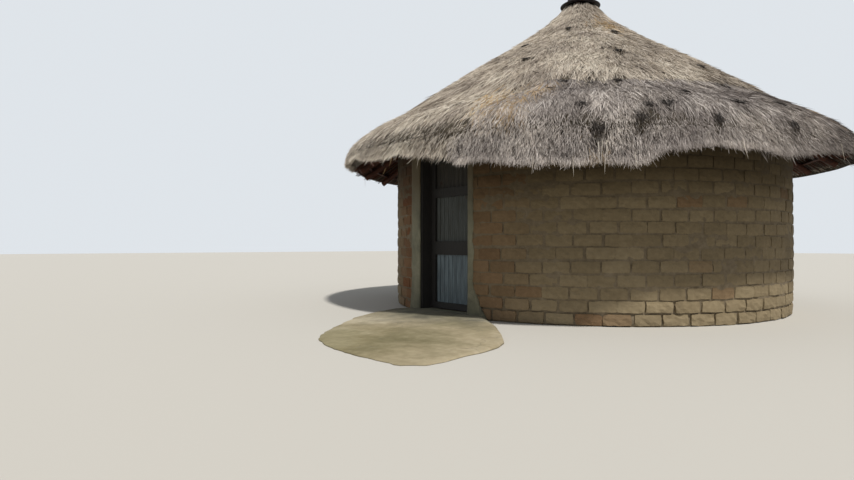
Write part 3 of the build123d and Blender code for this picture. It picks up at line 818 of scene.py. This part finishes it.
def layHoleShade():
    chance = np.random.default_rng(47)
    turn, down, size = np.repeat(np.array(roof["holes"]), holeShade["stalks"], axis=0).T
    count = len(turn)
    reach = chance.uniform(*holeShade["length"], count)
    aside = chance.normal(0, holeShade["across"], count) * size
    end = down + chance.normal(0, holeShade["down"], count) * size
    radius = alongOutline(end)[0]
    angle = np.radians(turn) + aside / radius
    low, high = holeShade["lift"]
    foot = offRoof(end - reach, angle, low)
    tip = offRoof(end, angle + chance.normal(0, holeShade["lean"], count) / radius, high)
    thick = chance.uniform(*holeShade["width"], count)
    layStalks("rottedStraw", foot, tip, thick, np.zeros(count), greyStraw, "old_thatch", 47)


layHoleShade()

# packed straw under the loose stalks, one closed form round the roof

packed = {"columns": 300, "below": 0.02, "swell": 0.004, "lumps": 0.003, "top": 4.40,
          # lengths down the straw on the slope and on the eave: first, last, count
          "slope": (0.03, 3.7, 52), "eave": (3.75, eaveTurn, 6),
          # hem of the form, and its lip under the eave
          "hemRadius": 3.396, "hemDraw": 0.02, "hemUp": 0.05, "lipIn": 0.03, "lipUp": 0.07,
          "underRadii": (2.9, 2.4, 1.8, 1.2, 0.6, 0.2)}
underside = {"plate": 2.61, "level": 2.300, "slope": 0.68, "offset": 0.0775, "inner": 3.292, "post": 0.047}


def undersideLevel(radius):
    # the straw lies on hoops over rafters that rise from the wall plate
    return underside["level"] + underside["slope"] * (underside["plate"] - radius) + underside["offset"]


def packedColumn(turn):
    # one upright section through the straw: down the outside, in under the eave and up to the apex
    downs = np.concatenate([np.linspace(*packed["slope"]), np.linspace(*packed["eave"])])
    column = []
    for point in offRoof(downs, np.full(len(downs), radians(turn)), -packed["below"]):
        place = Vector(point)
        swell = noise.noise(place * 5) * packed["swell"] + noise.noise(place * 16) * packed["lumps"]
        column.append(place + roofUp * swell)
    hem = float(hemAt(turn))
    top = column[-1].z
    for share in (0.3, 0.65, 1.0):
        level = top + (hem + packed["hemUp"] - top) * share
        column.append(around(turn, packed["hemRadius"] - packed["hemDraw"] * share, level))
    column.append(around(turn, underside["inner"] + packed["lipIn"], hem + packed["lipUp"]))
    for radius in (underside["inner"], *packed["underRadii"], underside["post"]):
        column.append(around(turn, radius, undersideLevel(radius)))
    column.append(around(turn, underside["post"], packed["top"]))
    return column


def buildThatchCore():
    columns = [packedColumn(360 * i / packed["columns"]) for i in range(packed["columns"])]
    ring = len(columns[0])
    faces = []
    for i in range(len(columns)):
        a, b = i * ring, ((i + 1) % len(columns)) * ring
        for j in range(ring):
            k = (j + 1) % ring
            faces.append((a + j, a + k, b + k, b + j))
    vertices = [tuple(place) for column in columns for place in column]
    closedPiece("packedStrawForm", vertices, faces, strawBelow, "thatch", *strawNodes)


buildThatchCore()
print("hut: straw form built")

# single stalks that hang loose or stick out: heading, level, length, lean across, lean out, tone

looseStalks = [
    (35.5, 1.66, 0.20, 0.02, 0.02, 0.8), (40.2, 1.66, 0.19, -0.03, 0.03, 0.8),
    (39.2, 1.78, 0.22, 0.05, 0.1, 0.9), (39.8, 1.80, 0.24, -0.05, 0.12, 0.85),
    (40.4, 1.79, 0.20, 0.02, 0.1, 0.95), (0.5, 1.83, 0.13, -0.35, 0.1, 1.0),
    (-1.6, 1.71, 0.12, -0.75, 0.1, 1.0), (24.0, 1.72, 0.16, 0.1, 0.05, 0.7),
    (29.5, 1.67, 0.17, -0.1, 0.0, 0.75), (44.5, 1.68, 0.17, 0.12, 0.05, 0.8),
    (61.0, 1.78, 0.18, 0.3, 0.05, 0.7), (83.0, 1.84, 0.20, 0.35, 0.05, 0.75),
    (88.0, 1.86, 0.22, 0.45, 0.1, 0.7), (8.0, 1.80, 0.16, -0.2, 0.05, 0.7),
    (150.0, 1.98, 0.2, 0.1, 0.1, 0.7), (210.0, 2.0, 0.22, -0.1, 0.1, 0.7),
    (265.0, 2.02, 0.2, 0.2, 0.1, 0.7), (305.0, 2.0, 0.22, -0.2, 0.1, 0.7),
]
looseWidth = 0.009


def layLooseStalks():
    turn, level, reach, leanAcross, leanOut, tone = np.array(looseStalks).T
    out, across = straight(np.radians(turn))
    line = lengthAndLine(across * leanAcross[:, None] + out * leanOut[:, None] - np.array([0, 0, 1]))[1]
    foot = out * roof["eaveRadius"]
    foot[:, 2] = level
    tip = foot + line * reach[:, None]
    layStalks("looseStalks", foot, tip, np.full(len(turn), looseWidth), tone, paleStraw, "thatch", 23)


layLooseStalks()

# reeds under the straw, seen from below at the eave and from the room

reeds = {
    # plan radius of each ring's inner and outer ends
    "rings": [(0.45, 1.30), (1.22, 2.30), (2.22, 3.28)],
    "spacing": 0.032, "thick": (0.016, 0.026), "below": 0.004, "blunt": 0.3,
    # unevenness of their upper ends, of their spacing, of their lengths and of their direction
    "start": 0.05, "shift": 0.3, "longer": (-0.03, 0.01), "swing": 0.02,
}


def layReeds():
    chance = np.random.default_rng(41)
    slant = math.hypot(1, underside["slope"])
    start, turns, reach = [], [], []
    for inner, outer in reeds["rings"]:
        count = int(2 * pi * outer / reeds["spacing"] * max(quickShare, 0.5))
        for k in range(count):
            start.append(inner + chance.uniform(-reeds["start"], reeds["start"]))
            turns.append((k + chance.uniform(-reeds["shift"], reeds["shift"])) * 2 * pi / count)
            reach.append((outer - inner + chance.uniform(*reeds["longer"])) * slant)
    start, turns, reach = np.array(start), np.array(turns), np.array(reach)
    out, across = straight(turns)
    swing = chance.normal(0, reeds["swing"], len(turns))
    line = lengthAndLine(out - np.array([0, 0, underside["slope"]]) + across * swing[:, None])[1]
    foot = out * start[:, None]
    foot[:, 2] = undersideLevel(start) - reeds["below"]
    tip = foot + line * reach[:, None]
    thick, tone = chance.uniform(*reeds["thick"], len(turns)), chance.uniform(0, 1, len(turns))
    layStalks("eaveReeds", foot, tip, thick, tone, reedWood, "pole", 41, reeds["blunt"])


layReeds()
print("hut: reeds laid")

# brick wall: mud core with separate bricks set in it

doorTurn = math.degrees(math.asin(hut["doorHalf"] / hut["wallRadius"]))
mortar = {"columns": 430, "rows": 58, "innerRows": 12, "depth": 0.0036, "footDepth": 0.019, "proudest": 0.005,
          # unevenness: fineness round the wall and up it, and depth; last the smears over the bricks
          "lumps": [(24, 9, 0.004), (70, 26, 0.003)], "smear": (7, 2.6, 0.010)}
# foot of the wall: how high the wear reaches, how deep it is, and more of it beside the doorstep
wear = {"top": 0.42, "over": 0.3, "hollow": 0.25, "wash": 0.020,
        "beside": 38, "besideWide": 14, "besideHollow": 0.3, "besideWash": 0.03}
brick = {"length": 0.283, "height": 0.121, "depth": 0.07, "proud": 0.002, "uneven": 0.019, "tip": 0.012,
         # worn corners and crowned face of the brick's form
         "cornerX": 0.975, "cornerZ": 0.94, "crownX": 0.06, "crownZ": 0.10,
         # spread of size, of the start of a course, of the heading in degrees, of depth and of tone
         "size": (-0.05, 0.03), "shift": 0.08, "turn": 0.25, "sunk": 0.0016, "tone": 0.2,
         # in the wall's worn foot the bricks are shorter, lower and deeper set
         "footWidth": 0.03, "footHeight": 0.05, "footSunk": 0.004,
         # waves of a course: height, waves round the wall, shift from course to course
         "waves": [(0.010, 3, 1), (0.006, 7, 2)],
         # red bricks: about two headings (heading, width, redness), few elsewhere
         "redSpots": [(-16, 9, 0.75), (15, 7, 0.45)], "redShare": 0.05, "red": (0.15, 0.5)}


def lowShare(level):
    # how far a level lies in the worn foot of the wall
    return within((wear["top"] - level) / wear["over"])


def wornFoot(turn, level):
    # depth washed out of the foot of the wall
    beside = math.exp(-((turn - wear["beside"]) / wear["besideWide"]) ** 2)
    uneven = noise.noise(around(turn, 7, level * 5))
    hollow = max(0.0, uneven + wear["hollow"] + wear["besideHollow"] * beside)
    return lowShare(level + 0.12) * hollow * (wear["wash"] + wear["besideWash"] * beside)


def mortarRadius(angle, level):
    # the mud between the bricks, smeared over them here and there
    low = lowShare(level)
    radius = hut["wallRadius"] - mortar["depth"] - mortar["footDepth"] * low
    for across, up, depth in mortar["lumps"]:
        radius += noise.noise(around(angle, across, level * up)) * depth
    across, up, depth = mortar["smear"]
    radius += noise.noise(around(angle, across, level * up + 8)) * depth * (1 - low)
    return min(radius, hut["wallRadius"] + mortar["proudest"]) - wornFoot(angle, level)


def buildCore():
    # ring of mud with the doorway cut through
    columns, rows, innerRows = mortar["columns"], mortar["rows"], mortar["innerRows"]
    section = [(True, hut["wallTop"] * j / rows) for j in range(rows + 1)]
    section += [(False, hut["wallTop"] * (1 - j / innerRows)) for j in range(innerRows + 1)]
    ring = len(section)
    vertices, faces = [], []
    for i in range(columns + 1):
        angle = doorTurn + (360 - 2 * doorTurn) * i / columns
        for outside, level in section:
            x, y = heading(angle, mortarRadius(angle, level) if outside else hut["wallInner"])
            if i in (0, columns):
                x = math.copysign(hut["doorHalf"], x)
            vertices.append((x, y, level))
    for i in range(columns):
        for j in range(ring):
            a, b = i * ring + j, i * ring + (j + 1) % ring
            faces.append((a, a + ring, b + ring, b))
    faces.append(tuple(range(ring)))
    faces.append(tuple(columns * ring + j for j in range(ring - 1, -1, -1)))
    closedPiece("mudCore", vertices, faces, jointMud, "mud_brick", *[f"wall_{k}" for k in range(1, 9)])


def brickForm():
    # one brick on its side: length along X, height along Z, worn corners, few faces
    work = bmesh.new()
    bmesh.ops.create_cube(work, size=1.0)
    for axis, cuts in ((0, 4), (2, 2)):
        edges = [e for e in work.edges if abs(e.verts[0].co[axis] - e.verts[1].co[axis]) > 0.5]
        bmesh.ops.subdivide_edges(work, edges=edges, cuts=cuts)
    for vertex in work.verts:
        x, y, z = vertex.co
        atEndX, atEndZ = abs(x) > 0.49, abs(z) > 0.49
        if atEndX and atEndZ:
            vertex.co.x *= brick["cornerX"]
            vertex.co.z *= brick["cornerZ"]
        if y < 0:
            vertex.co.y *= 1 - brick["crownZ"] * atEndZ - brick["crownX"] * atEndX
    mesh = bpy.data.meshes.new("brickForm")
    work.to_mesh(mesh)
    work.free()
    return addObject("brickForm", mesh)


def brickTree():
    # every marked point gets a brick, turned to the wall, tipped a little and made uneven
    tree, given = newTree("layBricks", [
        ("Brick", "NodeSocketObject", None), ("Length", "NodeSocketFloat", 0.28),
        ("Depth", "NodeSocketFloat", 0.07), ("Height", "NodeSocketFloat", 0.12),
        ("Uneven", "NodeSocketFloat", 0.004), ("Material", "NodeSocketMaterial", None)])
    form = addNode(tree, "GeometryNodeObjectInfo", {"transform_space": "ORIGINAL"},
                   {"Object": given["Brick"]})
    most = brick["tip"]
    tip = addNode(tree, "FunctionNodeRandomValue", {"data_type": "FLOAT_VECTOR"},
                  {0: (-most, -most, -most), 1: (most, most, most), "Seed": 5})
    rotation = turnedAlong(tree, {"axis": "Y", "pivot_axis": "Z"}, tip.outputs[0])
    size = sizeOf(tree, timesPlus(tree, readMark(tree, "width"), given["Length"], 0.0), given["Depth"],
                  timesPlus(tree, readMark(tree, "reach"), given["Height"], 0.0))
    bricks = laidForms(tree, given["Geometry"], form.outputs["Geometry"], rotation, size)
    lumps = addNode(tree, "ShaderNodeTexNoise", None, {"Scale": 24.0, "Detail": 3.0, "Roughness": 0.6})
    evenLumps = addNode(tree, "ShaderNodeVectorMath", {"operation": "SUBTRACT"},
                        {0: lumps.outputs["Color"], 1: (0.5, 0.5, 0.5)})
    # the foot of the wall is the most worn
    worn = remap(tree, levelHere(tree), 0.05, 0.5, 2.2, 1.0)
    moved = addNode(tree, "ShaderNodeVectorMath", {"operation": "SCALE"},
                    {0: evenLumps.outputs[0], "Scale": timesPlus(tree, given["Uneven"], worn, 0.0)})
    shaped = addNode(tree, "GeometryNodeSetPosition", None, {"Geometry": bricks, "Offset": moved.outputs[0]})
    return endTree(tree, shaped.outputs[0], given["Material"])


def layBricks():
    chance = np.random.default_rng(31)
    places, along, reach, width, tone, red = [], [], [], [], [], []
    step = 360 / hut["bricksRound"]
    half = step / 2
    for course in range(hut["courses"]):
        level = (course + 0.5) * hut["courseHeight"]
        low = lowShare(level)
        shift = (course % 2) * 0.5 + chance.uniform(-brick["shift"], brick["shift"])
        for k in range(hut["bricksRound"]):
            angle = (k + shift) * step + chance.uniform(-brick["turn"], brick["turn"])
            wide = 1 + chance.uniform(*brick["size"])
            turn = (angle + 180) % 360 - 180
            if abs(turn) < doorTurn + half and level < hut["doorTop"]:
                gap = abs(turn) + half - doorTurn
                if gap < half * 0.5:
                    continue
                # a cut brick at the doorway
                turn = math.copysign(doorTurn + gap / 2, turn)
                wide *= gap / step
                angle = turn
            drift = sum(height * sin(radians(angle) * waves + shifted * course)
                        for height, waves, shifted in brick["waves"])
            radius = hut["wallRadius"] + brick["proud"] - brick["depth"] / 2 + chance.normal(0, brick["sunk"])
            radius -= wornFoot(angle, level) + brick["footSunk"] * low * abs(chance.normal())
            places.append(around(angle, radius, level + drift * min(1, level)))
            along.append(around(angle, -1, 0))
            reach.append(1 + chance.uniform(*brick["size"]) - brick["footHeight"] * low)
            width.append(wide * (1 - brick["footWidth"] * low))
            tone.append(within(chance.normal(0.5, brick["tone"])))
            byDoor = sum(redness * math.exp(-((turn - spot) / spread) ** 2)
                         for spot, spread, redness in brick["redSpots"])
            single = (chance.uniform(0, 1) < brick["redShare"]) * chance.uniform(*brick["red"])
            red.append(min(1.0, byDoor + single))
    form = brickForm()
    points = markedPoints("brickMarks", places, along, reach, width, tone, red)
    values = {"Brick": form, "Length": brick["length"], "Depth": brick["depth"], "Height": brick["height"],
              "Uneven": brick["uneven"], "Material": brickMud}
    piece = runTree(points, brickTree(), values, "wallBricks")
    bpy.data.objects.remove(form)
    finishPiece(piece, "hut", "mud_brick")


buildCore()
layBricks()
print("hut: bricks laid")

# cement: doorstep apron and the bands beside the doorway


def closedSlab(name, front, back, material, node):
    # cement between two grids of points of the same size, in place of a solid
    rows, columns = len(front), len(front[0])
    vertices = [tuple(place) for grid in (front, back) for row in grid for place in row]
    under = rows * columns
    faces = []
    for i in range(rows - 1):
        for j in range(columns - 1):
            a = i * columns + j
            faces.append((a, a + 1, a + columns + 1, a + columns))
            faces.append((under + a, under + a + columns, under + a + columns + 1, under + a + 1))
    edge = [(0, j) for j in range(columns)] + [(i, columns - 1) for i in range(1, rows)]
    edge += [(rows - 1, j) for j in range(columns - 2, -1, -1)] + [(i, 0) for i in range(rows - 2, 0, -1)]
    loop = [i * columns + j for i, j in edge]
    for a, b in zip(loop, loop[1:] + loop[:1]):
        faces.append((a, under + a, under + b, b))
    closedPiece(name, vertices, faces, material, "cement", node)


apron = {
    # outline: heading, and distance from the hut's middle as a share of the wall's radius
    "outline": [(15.5, 1.012), (18.7, 1.106), (22.6, 1.217), (25.6, 1.365), (27.4, 1.475), (27.6, 1.56),
                (27.0, 1.65), (26.0, 1.73), (25.4, 1.82), (24.6, 1.88), (22.6, 1.91), (19.6, 1.886),
                (16, 1.852), (13, 1.823), (10, 1.787), (7.3, 1.73), (4, 1.643), (-0.3, 1.506), (-6.5, 1.357),
                (-12, 1.209), (-17.5, 1.07)],
    # heights at the doorway and at the edge; the edge is thicker at the right
    "rise": 0.058, "lip": 0.012, "rightLip": 0.024, "crest": 2.25, "columns": 90, "steps": 36,
    "underWall": 0.012, "thinnest": 0.003,
}


def buildApron():
    corners = np.array(apron["outline"])
    marks = np.linspace(0, len(corners) - 1, apron["columns"])
    turns, shares = [np.interp(marks, range(len(corners)), values) for values in corners.T]
    middle = Vector((0, -apron["crest"], 0))
    top, bottom = [], []
    for turn, share in zip(turns, shares):
        ragged = noiseAt(turn * 0.55, 3, 0) * 0.035 + noiseAt(turn * 1.9, 9, 0) * 0.015
        line = around(turn, share * hut["wallRadius"] + ragged * min(1, (share - 1) * 6), 0) - middle
        # where this line leaves the wall
        near = 0.0
        while (middle + line * near).length < hut["wallRadius"] - apron["underWall"] and near < 0.99:
            near += 0.005
        lip = apron["lip"] + apron["rightLip"] * within((turn - 16) / 10) * within((1.75 - share) * 3)
        row = []
        for k in range(apron["steps"] + 1):
            out = near + (1 - near) * (1 - (1 - k / apron["steps"]) ** 1.5)
            place = middle + line * out
            height = lip + (apron["rise"] - lip) * (1 - out ** 1.6)
            height *= min(1.0, (1 - out) * 40 + 0.15) ** 0.5
            height += noise.noise(place * 2.5) * 0.006 + noise.noise(place * 11) * 0.0022
            row.append((place.x, place.y, max(apron["thinnest"], height)))
        top.append(row)
        bottom.append([(x, y, 0.0) for x, y, level in row])
    closedSlab("cementApron", top, bottom, apronCement, "apron")


plaster = {
    "near": 0.44, "top": 2.04, "thick": 0.014, "thinnest": 0.0035, "rows": 110, "columns": 14,
    # the bands flare at their feet; the right one is thicker there
    "footTop": 0.42, "footThick": 0.02,
    # depth of the back in the wall, and more beyond the doorway's edge
    "back": 0.004, "backBeyond": 0.03,
    "left": {"side": -1, "width": 0.24, "flare": 0.06, "rough": 0.012},
    "right": {"side": 1, "width": 0.075, "flare": 0.18, "rough": 0.016},
}


def buildPlaster(name, band, node):
    rows, columns, side = plaster["rows"], plaster["columns"], band["side"]
    front, back = [], []
    for i in range(rows + 1):
        level = plaster["top"] * i / rows
        low = max(0.0, 1 - level / plaster["footTop"])
        ragged = noiseAt(level * 6, side * 5, 1) * band["rough"] + noiseAt(level * 22, side * 5, 2) * 0.006
        far = plaster["near"] + band["width"] + band["flare"] * low ** 1.5 + ragged
        near = plaster["near"] + noiseAt(level * 5, side * 9, 4) * 0.006
        frontRow, backRow = [], []
        for j in range(columns + 1):
            share = j / columns
            across = near + (far - near) * share
            turn = math.degrees(math.asin(across / hut["wallRadius"])) * side
            body = min(1.0, share * 8 + 0.2) ** 0.5 * min(1.0, (1 - share) * 5 + 0.12) ** 0.6
            swell = noiseAt(heading(turn, 30)[0], level * 8, 2) * 0.003
            thick = (plaster["thick"] + plaster["footThick"] * low * (side > 0) + swell) * body
            sunk = plaster["back"] + plaster["backBeyond"] * (across > hut["doorHalf"])
            frontRow.append(around(turn, hut["wallRadius"] + max(plaster["thinnest"], thick), level))
            backRow.append(around(turn, hut["wallRadius"] - sunk, level))
        front.append(frontRow)
        back.append(backRow)
    closedSlab(name, front, back, plasterCement, node)


buildApron()
buildPlaster("leftCementBand", plaster["left"], "left_plaster")
buildPlaster("rightCementBand", plaster["right"], "right_plaster")
print("hut: cement laid")
